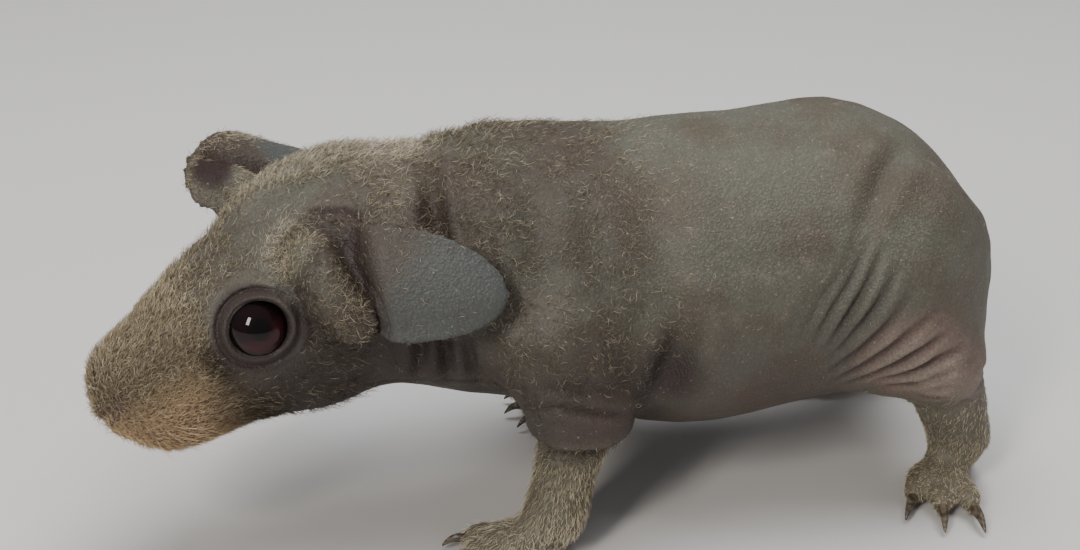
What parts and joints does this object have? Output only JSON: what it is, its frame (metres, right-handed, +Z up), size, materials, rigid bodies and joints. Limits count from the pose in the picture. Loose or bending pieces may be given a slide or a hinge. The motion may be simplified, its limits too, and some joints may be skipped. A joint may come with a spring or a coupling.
{
  "type": "skinny pig",
  "caption": "Nearly hairless young guinea pig standing on all fours, head lowered and turned slightly left, with petal ears, golden fuzzy muzzle and paws and loose, wrinkled skin.",
  "frame": {"origin": "middle of the animal's box, on the floor it stands on", "axes": "+X towards the tail, -Y towards the animal's left side, +Z up; the head faces -X"},
  "size_m": [0.161, 0.0702, 0.0685],
  "materials": {
    "body_skin": "bare wrinkled slate-brown skin with sparse hair",
    "front_skin": "slate-brown skin under a thin curly coat",
    "muzzle_fuzz": "dense short golden-tan fur",
    "ear_skin": "smooth thin ear skin with a fuzzy rim",
    "paw_fuzz": "short olive-golden fur",
    "eye": "wet, glossy dark eye",
    "claw_horn": "smooth dark horn"
  },
  "bodies": {
    "root": {"foreleg_left_upper_arm": "body_skin", "foreleg_right_upper_arm": "body_skin", "hindleg_left_thigh": "body_skin", "hindleg_right_thigh": "body_skin", "neck": "front_skin", "chest": "front_skin", "belly": "body_skin", "rump": "body_skin", "eye_left": "eye", "eye_right": "eye", "head": "front_skin", "muzzle": "muzzle_fuzz", "chin": "muzzle_fuzz", "ear_left": "ear_skin", "ear_right": "ear_skin", "foreleg_left_forearm": "paw_fuzz", "foreleg_left_foot": "paw_fuzz", "foreleg_left_toe_1": "paw_fuzz", "foreleg_left_claw_1": "claw_horn", "foreleg_left_toe_2": "paw_fuzz", "foreleg_left_claw_2": "claw_horn", "foreleg_left_toe_3": "paw_fuzz", "foreleg_left_claw_3": "claw_horn", "foreleg_left_toe_4": "paw_fuzz", "foreleg_left_claw_4": "claw_horn", "foreleg_right_forearm": "paw_fuzz", "foreleg_right_foot": "paw_fuzz", "foreleg_right_toe_1": "paw_fuzz", "foreleg_right_claw_1": "claw_horn", "foreleg_right_toe_2": "paw_fuzz", "foreleg_right_claw_2": "claw_horn", "foreleg_right_toe_3": "paw_fuzz", "foreleg_right_claw_3": "claw_horn", "foreleg_right_toe_4": "paw_fuzz", "foreleg_right_claw_4": "claw_horn", "hindleg_left_shank": "paw_fuzz", "hindleg_left_foot": "paw_fuzz", "hindleg_left_toe_1": "paw_fuzz", "hindleg_left_claw_1": "claw_horn", "hindleg_left_toe_2": "paw_fuzz", "hindleg_left_claw_2": "claw_horn", "hindleg_left_toe_3": "paw_fuzz", "hindleg_left_claw_3": "claw_horn", "hindleg_right_shank": "paw_fuzz", "hindleg_right_foot": "paw_fuzz", "hindleg_right_toe_1": "paw_fuzz", "hindleg_right_claw_1": "claw_horn", "hindleg_right_toe_2": "paw_fuzz", "hindleg_right_claw_2": "claw_horn", "hindleg_right_toe_3": "paw_fuzz", "hindleg_right_claw_3": "claw_horn"}
  },
  "joints": []
}
